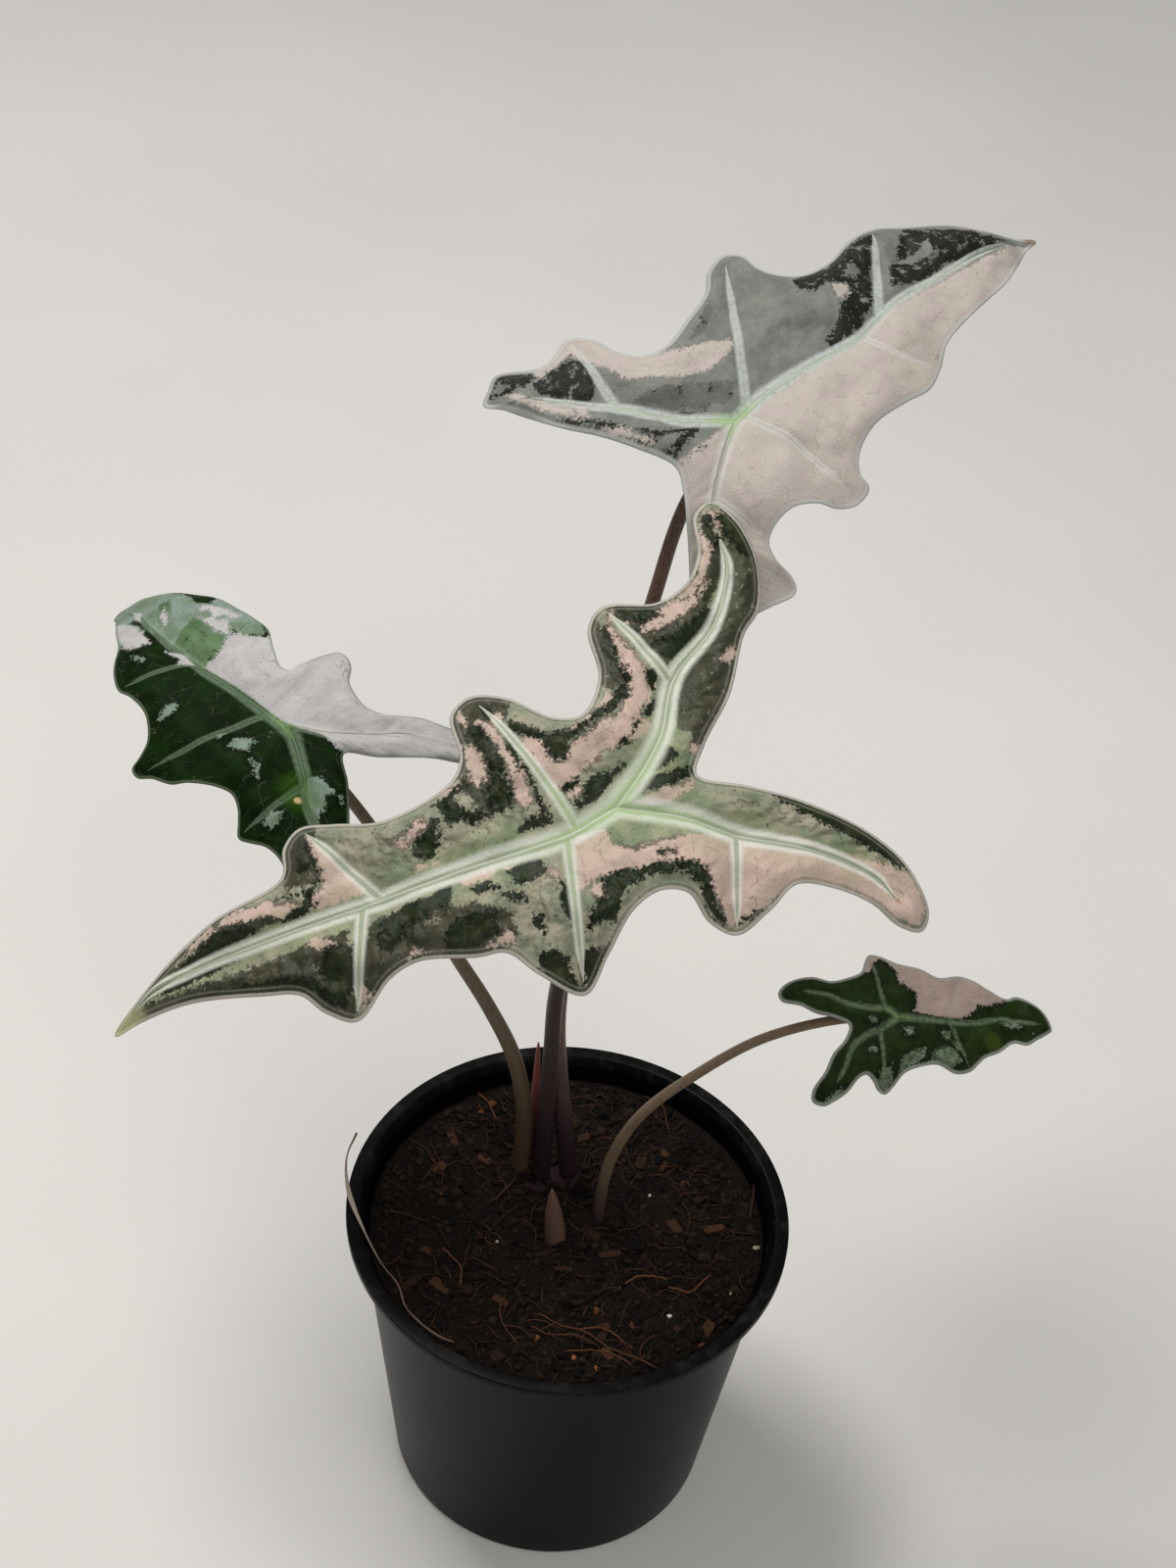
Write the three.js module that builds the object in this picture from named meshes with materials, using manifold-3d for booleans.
// A potted alocasia with four arrow-shaped, lobed leaves, in millimetres, +Z up.
// The origin is the middle of the pot's underside. The photograph looks along +Y, from above.
import * as THREE from 'three';
import { mergeVertices } from 'three/addons/utils/BufferGeometryUtils.js';
import Module from 'manifold-3d';

const wasm = await Module();
wasm.setup();

// Pot: a thin plastic nursery pot with a flat, turned-down lip and a raised underside.
const POT_HEIGHT = 105;
const RIM_RADIUS = 65;
const WALL_TOP_RADIUS = 60.5;
const BASE_RADIUS = 48.5;
const WALL = 1.2;
const LIP_DROP = 2.8;
const LIP_WALL = 1.2;
const FLOOR_TOP = 2.8;
const UNDERSIDE_LIFT = 1.6;
const FOOT_WIDTH = 7;
const BOSS_RADIUS = 14;
const DRAIN_RADIUS = 4.5;
const DRAIN_CIRCLE = 28;
const DRAINS = 6;
const SIDES = 40;

// Soil: it fills the pot to just below the rim, with a crumbled top.
const SOIL_TOP = 97;
const SOIL_RELIEF = 1.3;
const GAP = 0.3;
const HOLE_DEPTH = 24;
const SOIL_RINGS = 7;

// Crown: the short stem that the leaf stalks grow from, and the young shoots beside it.
const CROWN = { x: -8, y: 19, radius: 7, stretch: 1.55, top: 98, depth: 24 };
const CROWN_SEAT = CROWN.top + GAP;
const SHEATH_FOOT = new THREE.Vector3(-12, 24.6, CROWN_SEAT);
const SHEATH_TIP = new THREE.Vector3(-13, 25, 148);
const BUD_FOOT = new THREE.Vector3(-2.4, -4.8, SOIL_TOP - 6);
const BUD_TIP = new THREE.Vector3(-5.3, -4, 118);
const BUD_RADIUS = 3;
const BUD_HOLE = 3.9;
const SMALL_STALK_HOLE = 2.4;

// Blades: a leaf skin of even thickness, sunk along its ribs and rolled down at its rim.
const BLADE = 0.9;
const RIB_SINK = 1.2;
const RIB_SPREAD = 5;
const RIM_ROLL = 0.9;
const RIM_SPREAD = 3;
const RIM_PITCH = 4.6;
const ROWS = [0, 0.35, 0.7, 1];
const EYE = new THREE.Vector3(-5, -501, 711);

// Each leaf stands at its junction, where the stalk meets the blade. Heading, droop and bank
// are degrees: the way the midrib points, how far it dips, and how far the left side lifts.
// u runs along the midrib and v to the leaf's left, in millimetres from the junction.
// The bends are radii. A fold is [u, v, spread, depth] and lies along the line of sight.
// A rim point may name the rib that its part of the blade hangs from, and how far along it.
const LEAVES = {
  centre: {
    junction: [2, -20, 282],
    heading: -155,
    droop: 12,
    bank: -25,
    bends: { tip: 260, tail: 200, side: 400 },
    folds: [
      [-62, 32, 15, 6], [-58, -72, 18, -6], [-60, 54, 10, 4], [-62, -44, 12, 2],
      [25, 42, 9, 4], [-15, 42, 8, 3], [78, 24, 8, 3], [22, -44, 9, 5],
      [-18, -54, 8, 4], [73, -30, 8, 4], [-1, 24, 9, -2], [57, 17, 9, -1.5],
      [-1, -27, 9, -2], [48, -21, 10, -2], [-33, 33, 8, -1.5], [-35, -49, 8, -1.5],
    ],
    midrib: [[0, 0], [14, 2], [40, 0], [65, -2], [90, -5], [110, -7], [119, -7], [125, -5]],
    left: [[0, 0], [-14, 8], [-25, 17], [-42, 27], [-54, 38], [-57, 45]],
    right: [[0, 0], [-9, -6], [-18, -14], [-27, -27], [-43, -38], [-54, -53], [-56, -62]],
    rim: [
      [132, -2], [125, -2], [112, 0], [95, 7], [87, 11], [83, 18],
      [77, 23, 'midrib', 66], [66, 17], [58, 16], [45, 21], [38, 23], [33, 31],
      [25, 40, 'midrib', 14], [16, 33], [6, 25], [-2, 23, 'midrib', 0], [-8, 26], [-10, 35],
      [-15, 40, 'left', 30], [-25, 37], [-34, 33], [-43, 37], [-51, 44], [-55, 51],
      [-60, 54, 'left end'], [-64, 50], [-64, 38], [-59, 28], [-46, 15], [-33, 6],
      [-22, -1, 'sinus'], [-27, -8], [-39, -19], [-50, -34], [-57, -40], [-63, -54], [-63, -67],
      [-59, -74, 'right end'], [-53, -71], [-49, -60], [-42, -52], [-32, -49],
      [-19, -53, 'right', 38], [-13, -48], [-10, -34], [-2, -26, 'midrib', 0], [5, -28], [14, -38],
      [22, -42, 'midrib', 11], [28, -39], [30, -27], [35, -22], [53, -20], [65, -25],
      [73, -28, 'midrib', 61], [78, -25], [81, -18], [100, -16], [118, -10],
    ],
    stalk: {
      path: [[-9, 18, CROWN_SEAT], [-9, 18, 116], [-9, 16, 154], [-9, 13, 180], [-5, 0, 226],
        [1, -11, 258]],
      foot: 2.6,
      top: 2,
    },
  },
  top: {
    junction: [25, 90, 324],
    heading: 41,
    droop: -13,
    bank: 15,
    bends: { tip: 350, tail: 160, side: 350 },
    folds: [
      [-46, 40, 14, 4], [-42, -46, 22, 15], [-46, 52, 9, 3],
      [37, 50, 9, 3], [-17, 52, 8, 3], [81, 37, 11, 3], [10, -39, 8, 3],
      [-19, -50, 8, 3], [60, -17, 9, 2], [0, 31, 10, -2], [52, 30, 10, -2],
      [-8, -30, 9, -2], [32, -22, 9, -2],
    ],
    midrib: [[0, 0], [9, 2], [23, 3], [40, 3], [50, 4], [63, 8], [83, 10], [103, 12], [114, 11]],
    left: [[0, 0], [-11, 9], [-16, 15], [-21, 23], [-27, 29], [-32, 36], [-37, 42]],
    right: [[0, 0], [-5, -3], [-13, -9], [-20, -15], [-28, -25], [-36, -34], [-45, -43]],
    rim: [
      [124, 10], [119, 13], [110, 21], [103, 26], [90, 31],
      [81, 35, 'midrib', 58], [71, 34], [60, 30], [50, 30], [44, 34], [41, 40], [41, 46],
      [37, 49, 'midrib', 5], [29, 46], [23, 40], [12, 35], [1, 31, 'midrib', 0], [-6, 33],
      [-10, 39], [-12, 46], [-17, 51, 'left', 32], [-22, 49], [-27, 48], [-31, 50], [-38, 55],
      [-42, 53], [-46, 50, 'left end'], [-43, 45], [-40, 38], [-35, 28], [-30, 20], [-25, 10],
      [-21, -1, 'sinus'], [-24, -8], [-30, -17], [-38, -28], [-46, -38],
      [-51, -47, 'right end'], [-45, -50], [-35, -47], [-28, -48],
      [-20, -49, 'right', 40], [-18, -46], [-18, -38], [-16, -33, 'right', 24], [-11, -30],
      [-4, -29, 'midrib', 0], [2, -32], [5, -36], [10, -38, 'midrib', 3], [16, -36], [17, -31],
      [21, -26], [31, -21], [43, -20], [52, -20], [60, -16, 'midrib', 49], [68, -10], [79, -6],
      [90, -3], [101, 0], [110, 4], [118, 8],
    ],
    stalk: {
      path: [[-1, 20, CROWN_SEAT], [-2, 20, 108], [-5, 21, 130], [-8, 25, 155], [-8, 30, 172],
        [-6, 40, 198], [1, 60, 241], [8, 77, 273], [14, 86, 298]],
      foot: 2.8,
      top: 1.9,
    },
  },
  left: {
    junction: [-89, 40, 248],
    heading: 145,
    droop: -9,
    bank: -13,
    bends: { tip: 150, tail: 160, side: 200 },
    curl: { from: 48, radius: 36 },
    folds: [
      [19, 38, 9, 4], [-15, 33, 7, 3], [5, -31, 8, 3], [-24, -28, 8, 2], [33, -24, 9, 2],
      [45, 19, 8, 2], [-1, 24, 8, -2], [32, 20, 8, -1.5], [18, -16, 8, -2], [-12, -20, 8, -1.5],
    ],
    midrib: [[0, 0], [12, 0], [23, 0], [32, 0], [40, -1], [48, -2], [56, -4], [66, -8], [78, -12]],
    left: [[0, 0], [-5, 1], [-10, 4], [-16, 8], [-23, 14], [-31, 18], [-39, 25], [-42, 28]],
    right: [[0, 0], [-5, -3], [-10, -6], [-16, -11], [-25, -21], [-32, -26], [-41, -33], [-45, -36]],
    rim: [
      [84, -14], [76, -8], [66, 0], [58, 6], [54, 11], [50, 15],
      [45, 18, 'midrib', 34], [40, 18], [32, 20], [25, 26], [23, 31], [22, 35],
      [19, 36, 'midrib', 5], [16, 34], [10, 32], [7, 29], [0, 25, 'midrib', 0], [-5, 24],
      [-9, 26], [-12, 29], [-15, 32, 'left', 20], [-18, 31], [-22, 29], [-27, 29], [-36, 33],
      [-44, 36], [-50, 33, 'left end'], [-48, 27], [-40, 17], [-31, 7], [-25, 1],
      [-18, -5, 'sinus'], [-25, -11], [-35, -22], [-41, -27], [-50, -37],
      [-53, -43, 'right end'], [-42, -38], [-31, -32], [-25, -29],
      [-21, -26, 'right', 26], [-17, -22], [-12, -20], [-7, -21, 'midrib', 0], [-3, -23], [0, -27],
      [3, -29], [6, -29, 'midrib', 4], [8, -26], [10, -20], [11, -15], [14, -14], [21, -18],
      [27, -22], [33, -23, 'midrib', 29], [40, -23], [47, -23], [55, -21], [65, -20], [76, -18],
    ],
    stalk: {
      path: [[-15.5, 20, CROWN_SEAT], [-15.5, 20, 124], [-20, 22, 145], [-28, 25, 161], [-37, 28, 175],
        [-67, 34, 224], [-81, 39, 238]],
      foot: 2.7,
      top: 1.6,
    },
  },
  small: {
    junction: [83, -5, 203],
    heading: 3,
    droop: 2,
    bank: 28,
    bends: { tip: 200, tail: 150, side: 150 },
    folds: [
      [-8, 18, 5, 1.5], [-32, 6, 6, 2], [-20, -25, 6, 2], [-3, -21, 5, 1.5], [20, -13, 6, 1.5],
      [17, 13, 6, 1], [33, 8, 5, 1], [-14, 10, 5, -1], [-8, -16, 5, -1],
    ],
    midrib: [[0, 0], [10, 0], [20, 0], [28, 2], [34, 2], [40, 2]],
    left: [[0, 0], [-3, 2], [-8, 2], [-14, 3], [-19, 5], [-26, 6]],
    right: [[0, 0], [-4, -3], [-9, -6], [-12, -9], [-14, -15], [-16, -19]],
    rim: [
      [43, 1], [42, 4], [39, 7], [33, 9], [30, 8], [25, 10], [21, 12],
      [17, 13, 'midrib', 14], [11, 12], [6, 14], [0, 15], [-6, 17],
      [-8, 17, 'left', 4], [-9, 15], [-10, 12], [-14, 10], [-18, 9], [-23, 10], [-28, 9],
      [-31, 7], [-32, 5, 'left end'], [-31, 3], [-26, 2], [-22, 0], [-17, -1],
      [-13, -3, 'sinus'], [-14, -7], [-17, -11, 'right in', 12], [-19, -16], [-22, -21], [-22, -24],
      [-19, -25, 'right end'], [-17, -24], [-13, -21], [-10, -17], [-8, -16], [-6, -18],
      [-5, -20], [-3, -21, 'right', 6], [-1, -19], [2, -15, 'midrib', 0], [6, -13], [11, -12],
      [16, -14], [20, -13, 'midrib', 14], [24, -9], [28, -7], [32, -4], [36, -4], [39, -2],
      [42, 0],
    ],
    stalk: {
      path: [[9, 4, SOIL_TOP - 16], [9, 4, 99], [9, 4, 106], [11, 3, 126], [18, 1, 148], [32, 0, 168],
        [49, -2, 187], [69, -3, 198]],
      foot: 1.9,
      top: 1.3,
    },
  },
};

// A solid for joins and cuts, from a closed geometry.
function solidOf(geometry) {
  const bare = geometry.index ? geometry.toNonIndexed() : geometry.clone();
  bare.deleteAttribute('normal');
  bare.deleteAttribute('uv');
  const merged = mergeVertices(bare, 1e-4);
  return new wasm.Manifold(new wasm.Mesh({
    numProp: 3,
    vertProperties: merged.attributes.position.array,
    triVerts: new Uint32Array(merged.index.array),
  }));
}

function geometryOf(solid) {
  const mesh = solid.getMesh();
  return closedGeometry(Array.from(mesh.vertProperties), Array.from(mesh.triVerts));
}

function closedGeometry(positions, triangles) {
  const geometry = new THREE.BufferGeometry();
  geometry.setAttribute('position', new THREE.Float32BufferAttribute(positions, 3));
  geometry.setIndex(triangles);
  geometry.computeVertexNormals();
  return geometry;
}

// LatheGeometry turns about Y. This stands it up along Z, with outlines as [radius, height].
function turned(outline, sides) {
  const geometry = new THREE.LatheGeometry(outline.map(([r, z]) => new THREE.Vector2(r, z)), sides);
  geometry.rotateX(Math.PI / 2);
  return geometry;
}

const wallRadius = (z) => THREE.MathUtils.mapLinear(
  z, 0, POT_HEIGHT - LIP_DROP, BASE_RADIUS, WALL_TOP_RADIUS,
);

function potGeometry() {
  const lipInside = RIM_RADIUS - LIP_WALL;
  const lipFoot = POT_HEIGHT - LIP_DROP;
  const lipUnder = POT_HEIGHT - LIP_WALL;
  const outline = [
    [0, 0], [BOSS_RADIUS, 0], [BOSS_RADIUS + 1, UNDERSIDE_LIFT],
    [BASE_RADIUS - FOOT_WIDTH - 1, UNDERSIDE_LIFT], [BASE_RADIUS - FOOT_WIDTH, 0],
    [BASE_RADIUS - 1, 0], [BASE_RADIUS, 1.2],
    [WALL_TOP_RADIUS, lipFoot], [WALL_TOP_RADIUS + 0.9, lipUnder],
    [lipInside - 0.3, lipUnder], [lipInside, lipUnder - 0.4], [lipInside, lipFoot],
    [RIM_RADIUS, lipFoot], [RIM_RADIUS, POT_HEIGHT - 0.9], [RIM_RADIUS - 0.3, POT_HEIGHT - 0.25],
    [RIM_RADIUS - 1, POT_HEIGHT], [WALL_TOP_RADIUS + 1.2, POT_HEIGHT],
    [WALL_TOP_RADIUS + 0.2, POT_HEIGHT - 0.4],
    [WALL_TOP_RADIUS - WALL, lipFoot], [wallRadius(FLOOR_TOP) - WALL, FLOOR_TOP], [0, FLOOR_TOP],
  ];
  let pot = solidOf(turned(outline, SIDES));
  for (let i = 0; i < DRAINS; i += 1) {
    const angle = (2 * Math.PI * (i + 0.5)) / DRAINS;
    const drain = new THREE.CylinderGeometry(DRAIN_RADIUS, DRAIN_RADIUS, 3 * FLOOR_TOP, 12);
    drain.rotateX(Math.PI / 2);
    drain.translate(DRAIN_CIRCLE * Math.cos(angle), DRAIN_CIRCLE * Math.sin(angle), 0);
    pot = pot.subtract(solidOf(drain));
  }
  return geometryOf(pot);
}

// Low mounds of crumbled soil, flat at the wall.
function soilHeight(x, y) {
  const fromWall = THREE.MathUtils.clamp((58 - Math.hypot(x, y)) / 10, 0, 1);
  const waves = Math.sin(0.21 * x + 1) * Math.cos(0.17 * y)
    + 0.6 * Math.sin(0.37 * x - 0.29 * y) + 0.4 * Math.cos(0.49 * y + 0.23 * x);
  return SOIL_TOP + SOIL_RELIEF * fromWall * waves / 1.4;
}

function soilGeometry() {
  const inner = (z) => wallRadius(z) - WALL - GAP;
  const outline = [[0, FLOOR_TOP + GAP], [inner(FLOOR_TOP), FLOOR_TOP + GAP]];
  for (let i = SOIL_RINGS; i >= 0; i -= 1) {
    outline.push([inner(SOIL_TOP - 2) * (i / SOIL_RINGS), SOIL_TOP]);
  }
  const geometry = turned(outline, SIDES);
  const place = geometry.attributes.position;
  for (let i = 0; i < place.count; i += 1) {
    if (place.getZ(i) > SOIL_TOP - 1) place.setZ(i, soilHeight(place.getX(i), place.getY(i)));
  }
  const crownHole = new THREE.CylinderGeometry(CROWN.radius + GAP, CROWN.radius + GAP, 2 * HOLE_DEPTH, 24);
  crownHole.rotateX(Math.PI / 2);
  crownHole.scale(CROWN.stretch, 1, 1);
  crownHole.translate(CROWN.x, CROWN.y, SOIL_TOP);
  let soil = solidOf(geometry).subtract(solidOf(crownHole));
  const [smallX, smallY] = LEAVES.small.stalk.path[0];
  for (const [x, y, radius] of [[smallX, smallY, SMALL_STALK_HOLE], [BUD_FOOT.x, BUD_FOOT.y, BUD_HOLE]]) {
    const hole = new THREE.CylinderGeometry(radius, radius, 2 * HOLE_DEPTH, 16);
    hole.rotateX(Math.PI / 2);
    hole.translate(x, y, SOIL_TOP);
    soil = soil.subtract(solidOf(hole));
  }
  return geometryOf(soil);
}

function crownGeometry() {
  const { x, y, radius, stretch, top, depth } = CROWN;
  const geometry = turned([
    [0, SOIL_TOP - depth + GAP], [radius * 0.7, SOIL_TOP - depth + GAP], [radius, SOIL_TOP - depth / 2],
    [radius, SOIL_TOP], [radius * 0.96, top - 1], [radius * 0.9, top], [0, top],
  ], 24);
  geometry.scale(stretch, 1, 1);
  geometry.translate(x, y, 0);
  return geometry;
}

// A column with round or flat ends, bent along a curve: ring heights become places on the path.
function bentColumn(curve, outline, sides) {
  const geometry = turned(outline, sides);
  const length = curve.getLength();
  const steps = 120;
  const frames = curve.computeFrenetFrames(steps, false);
  const place = geometry.attributes.position;
  for (let i = 0; i < place.count; i += 1) {
    const along = place.getZ(i);
    const share = THREE.MathUtils.clamp(along / length, 0, 1);
    const frame = Math.round(share * steps);
    const point = curve.getPointAt(share)
      .addScaledVector(frames.tangents[frame], along - share * length)
      .addScaledVector(frames.binormals[frame], place.getX(i))
      .addScaledVector(frames.normals[frame], -place.getY(i));
    place.setXYZ(i, point.x, point.y, point.z);
  }
  return geometry;
}

// A leaf stalk: thick and sheathed at the foot, slim above, with a round end under the blade.
function stalkGeometry(leaf) {
  const { path, foot, top } = leaf.stalk;
  const points = path.map((place) => new THREE.Vector3(...place));
  const frame = leafFrame(leaf);
  points.push(frame.junction.clone().addScaledVector(frame.up, -(RIB_SINK + BLADE + GAP + top)));
  const curve = new THREE.CatmullRomCurve3(points);
  curve.arcLengthDivisions = 400;
  const length = curve.getLength();
  const rings = 15;
  const outline = [[0, 0]];
  for (let i = 0; i <= rings; i += 1) {
    const share = i / rings;
    outline.push([top + (foot - top) * (1 - share) ** 1.5, share * length]);
  }
  for (const turn of [30, 60, 90]) {
    const angle = THREE.MathUtils.degToRad(turn);
    outline.push([turn < 90 ? top * Math.cos(angle) : 0, length + top * Math.sin(angle)]);
  }
  return bentColumn(curve, outline, 8);
}

function taperGeometry(foot, tip, radius, tipRadius, belly) {
  const curve = new THREE.LineCurve3(foot, tip);
  const length = foot.distanceTo(tip);
  const outline = [[0, 0], [radius, 0], [radius * belly, length * 0.4],
    [THREE.MathUtils.lerp(radius, tipRadius, 0.75), length * 0.8], [tipRadius, length * 0.97], [0, length]];
  return bentColumn(curve, outline, 8);
}

// The leaf's own axes: along the midrib, to its left, and up out of its face.
function leafFrame(leaf) {
  const heading = THREE.MathUtils.degToRad(leaf.heading);
  const droop = THREE.MathUtils.degToRad(leaf.droop);
  const bank = THREE.MathUtils.degToRad(leaf.bank);
  const along = new THREE.Vector3(
    Math.cos(heading) * Math.cos(droop), Math.sin(heading) * Math.cos(droop), -Math.sin(droop),
  );
  const level = new THREE.Vector3(-Math.sin(heading), Math.cos(heading), 0);
  const side = level.applyAxisAngle(along, bank);
  const up = new THREE.Vector3().crossVectors(along, side);
  const junction = new THREE.Vector3(...leaf.junction);
  const sight = EYE.clone().sub(junction).normalize();
  return { junction, along, side, up, sight };
}

// The point of the blade at (u, v), a share of the way from a rib to the rim, which are `reach`
// apart. The ribs sink the blade and the rim rolls down, by distance from each.
function bladePoint(leaf, frame, u, v, share, reach, lower) {
  const { tip, tail, side } = leaf.bends;
  const ahead = Math.max(u, 0);
  const behind = Math.min(u, 0);
  let rise = -(ahead * ahead) / (2 * tip) - (behind * behind) / (2 * tail) - (v * v) / (2 * side);
  if (leaf.curl) rise -= (Math.max(u - leaf.curl.from, 0) ** 2) / (2 * leaf.curl.radius);
  rise -= RIB_SINK * Math.exp((-share * reach) / RIB_SPREAD);
  rise -= RIM_ROLL * share * Math.exp(((share - 1) * reach) / RIM_SPREAD);
  const fold = leaf.folds.reduce((sum, [fu, fv, spread, depth]) => (
    sum - depth * Math.exp(-((u - fu) ** 2 + (v - fv) ** 2) / (2 * spread * spread))
  ), 0);
  return frame.junction.clone()
    .addScaledVector(frame.along, u)
    .addScaledVector(frame.side, v)
    .addScaledVector(frame.up, rise - lower)
    .addScaledVector(frame.sight, fold);
}

const smooth = (points, closed) => {
  const curve = new THREE.CatmullRomCurve3(points.map(([u, v]) => new THREE.Vector3(u, v, 0)), closed);
  curve.arcLengthDivisions = 800;
  return curve;
};

// Where each rim point hangs on a walk along the ribs: from the tip down the midrib to the
// junction, out and back along the left rib, out and back along the right rib, and to the tip.
function ribWalk(leaf, curves) {
  const rim = leaf.rim;
  const lengths = ['midrib', 'left', 'right'].map((name) => curves[name].getLength());
  const [mid, left, right] = lengths;
  const sinus = rim.findIndex((point) => point[2] === 'sinus');
  const total = 2 * (mid + left + right);
  const rimLengths = curves.rim.getLengths(rim.length * 40);
  const keys = [[0, 0]];
  rim.forEach(([, , rib, distance], i) => {
    const before = i < sinus;
    const walk = {
      midrib: before ? mid - distance : total - mid + distance,
      left: mid + distance,
      'left end': mid + left,
      sinus: mid + 2 * left,
      'right in': mid + 2 * left + distance,
      'right end': mid + 2 * left + right,
      right: total - mid - distance,
    }[rib];
    if (rib) keys.push([walk, rimLengths[i * 40] / rimLengths[rimLengths.length - 1]]);
  });
  keys.push([total, 1]);
  return { keys, lengths, total };
}

function readKeys(keys, walk) {
  const next = Math.max(1, keys.findIndex(([at]) => at >= walk - 1e-6));
  const [[from, low], [to, high]] = [keys[next - 1], keys[next]];
  return low + (high - low) * THREE.MathUtils.clamp((walk - from) / (to - from), 0, 1);
}

// The stops along one rib: one for each rim point that names it, and more between them, so
// that the rim has a corner about every RIM_PITCH on its longer side.
function ribStops(keys, length, sides, rimLength) {
  const named = keys.flatMap(([at]) => sides.map((walkTo) => walkTo.from(at)))
    .filter((x) => x > 1e-6 && x < length - 1e-6);
  const marks = [0, ...new Set(named.map((x) => Number(x.toFixed(3)))), length].sort((p, q) => p - q);
  const stops = [0];
  for (let i = 1; i < marks.length; i += 1) {
    const arcs = sides.map(({ to }) => Math.abs(
      readKeys(keys, to(marks[i])) - readKeys(keys, to(marks[i - 1])),
    ) * rimLength);
    const steps = Math.max(1, Math.round(Math.max(...arcs) / RIM_PITCH));
    for (let k = 1; k <= steps; k += 1) {
      stops.push(THREE.MathUtils.lerp(marks[i - 1], marks[i], k / steps));
    }
  }
  return stops;
}

// The lines of a blade, in order round its rim: each has its foot on a rib and its end on the rim.
function bladeLines(leaf) {
  const curves = {
    midrib: smooth(leaf.midrib, false),
    left: smooth(leaf.left, false),
    right: smooth(leaf.right, false),
    rim: smooth(leaf.rim, true),
  };
  const { keys, lengths: [mid, left, right], total } = ribWalk(leaf, curves);
  const rimLength = curves.rim.getLength();
  // Each rib is walked twice, once on each side: `to` turns a place on it into the walk.
  const walks = {
    midrib: [mid, { to: (x) => mid - x, from: (at) => mid - at },
      { to: (x) => total - mid + x, from: (at) => at - total + mid }],
    left: [left, { to: (x) => mid + x, from: (at) => at - mid },
      { to: (x) => mid + 2 * left - x, from: (at) => mid + 2 * left - at }],
    right: [right, { to: (x) => mid + 2 * left + x, from: (at) => at - mid - 2 * left },
      { to: (x) => total - mid - x, from: (at) => total - mid - at }],
  };
  const lines = [];
  const stops = {};
  for (const [name, [length, ...sides]] of Object.entries(walks)) {
    stops[name] = ribStops(keys, length, sides, rimLength);
  }
  const walk = (name, side, outward) => {
    const [length, ...sides] = walks[name];
    const places = outward ? stops[name].slice(0, -1) : stops[name].slice(1).reverse();
    for (const x of places) {
      const foot = curves[name].getPointAt(THREE.MathUtils.clamp(x / length, 0, 1));
      const end = curves.rim.getPointAt(readKeys(keys, sides[side].to(x)) % 1);
      lines.push({ foot, end, outward });
    }
  };
  walk('midrib', 0, false);
  walk('left', 0, true);
  walk('left', 1, false);
  walk('right', 0, true);
  walk('right', 1, false);
  walk('midrib', 1, true);
  return lines;
}

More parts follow.
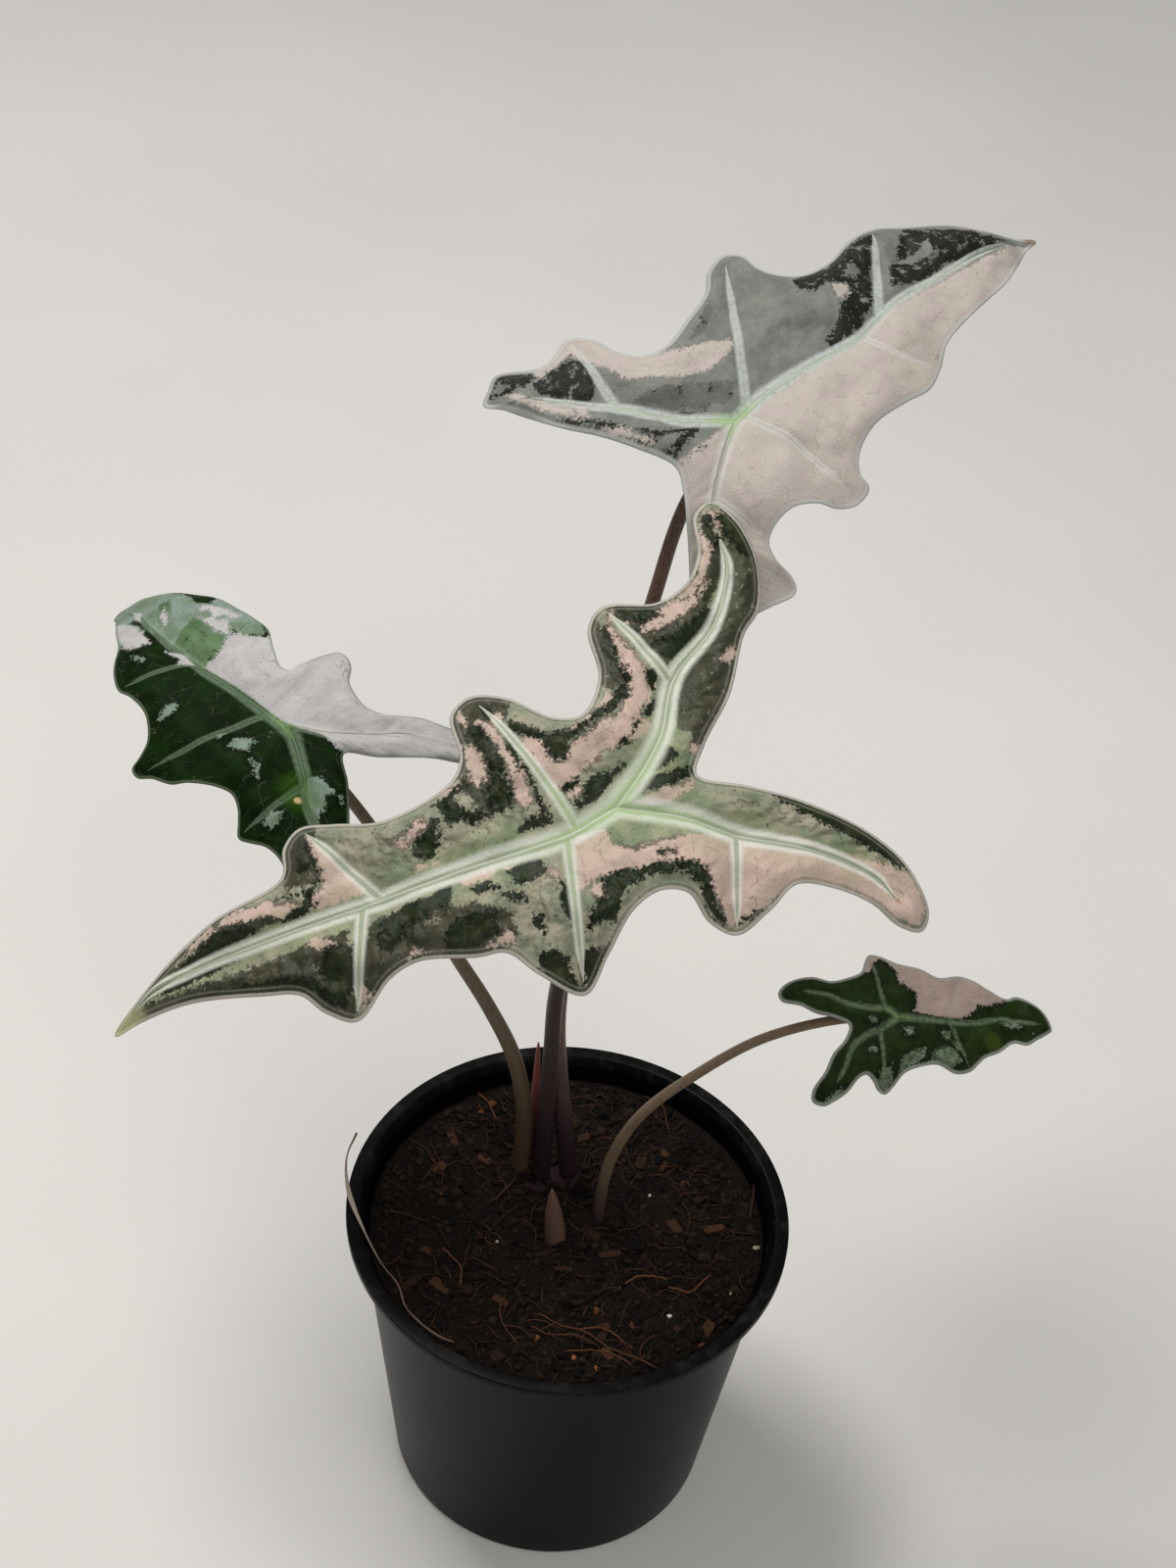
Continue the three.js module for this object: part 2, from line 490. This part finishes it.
// A blade: its lines run from the ribs out to the rim, alike on the upper and lower face.
function bladeGeometry(leaf) {
  const frame = leafFrame(leaf);
  const lines = bladeLines(leaf);
  const positions = [];
  for (const lower of [0, BLADE]) {
    for (const { foot, end } of lines) {
      const reach = foot.distanceTo(end);
      for (const row of ROWS) {
        const at = foot.clone().lerp(end, row);
        const point = bladePoint(leaf, frame, at.x, at.y, row, reach, lower);
        positions.push(point.x, point.y, point.z);
      }
    }
  }
  const rows = ROWS.length;
  const face = lines.length * rows;
  const triangles = [];
  // Quads are split so that no triangle lies along a rib where the lines fan out round its end.
  const quad = (a, b, c, d, outward) => (
    outward ? triangles.push(a, b, d, b, c, d) : triangles.push(a, b, c, a, c, d)
  );
  for (let i = 0; i < lines.length; i += 1) {
    const here = i * rows;
    const next = ((i + 1) % lines.length) * rows;
    for (let j = 0; j + 1 < rows; j += 1) {
      const [a, b, c, d] = [here + j, here + j + 1, next + j + 1, next + j];
      quad(a, b, c, d, lines[i].outward);
      quad(face + d, face + c, face + b, face + a, lines[i].outward);
    }
    quad(here + rows - 1, face + here + rows - 1, face + next + rows - 1, next + rows - 1);
  }
  return withoutSlivers(closedGeometry(positions, triangles));
}

// Welds the feet that two sides of a rib share, and drops the triangles that this closes up.
function withoutSlivers(geometry) {
  geometry.deleteAttribute('normal');
  const merged = mergeVertices(geometry, 1e-3);
  const kept = [];
  const index = merged.index.array;
  for (let i = 0; i < index.length; i += 3) {
    const [a, b, c] = [index[i], index[i + 1], index[i + 2]];
    if (a !== b && b !== c && c !== a) kept.push(a, b, c);
  }
  return closedGeometry(Array.from(merged.attributes.position.array), kept);
}

const finish = (color, roughness) => new THREE.MeshStandardMaterial({ color, roughness, metalness: 0 });
const BLACK_PLASTIC = finish(0x0b0b0c, 0.45);
const POTTING_SOIL = finish(0x1c130d, 0.95);
const PURPLE_STEM = finish(0x35222a, 0.55);
const BROWN_STEM = finish(0x5b4336, 0.55);
const PINK_BUD = finish(0x8a6152, 0.6);
const DRY_SHEATH = finish(0x6e3a2c, 0.7);

const plant = new THREE.Group();

function add(name, geometry, material) {
  const mesh = new THREE.Mesh(geometry, material);
  mesh.name = name;
  plant.add(mesh);
}

add('pot', potGeometry(), BLACK_PLASTIC);
add('soil', soilGeometry(), POTTING_SOIL);
add('crown', crownGeometry(), PURPLE_STEM);
add('sheath', taperGeometry(SHEATH_FOOT, SHEATH_TIP, 1.5, 0.5, 0.95), DRY_SHEATH);
add('bud', taperGeometry(BUD_FOOT, BUD_TIP, BUD_RADIUS, 1, 1), PINK_BUD);

const bladeColours = {
  centre: finish(0x6f7a5a, 0.4),
  top: finish(0x9b9a92, 0.4),
  left: finish(0x3c5a33, 0.35),
  small: finish(0x3d4f35, 0.4),
};
const stalkColours = { centre: PURPLE_STEM, top: PURPLE_STEM, left: BROWN_STEM, small: BROWN_STEM };
for (const [name, leaf] of Object.entries(LEAVES)) {
  add(`stalk_${name}`, stalkGeometry(leaf), stalkColours[name]);
  add(`blade_${name}`, bladeGeometry(leaf), bladeColours[name]);
}

export default plant;
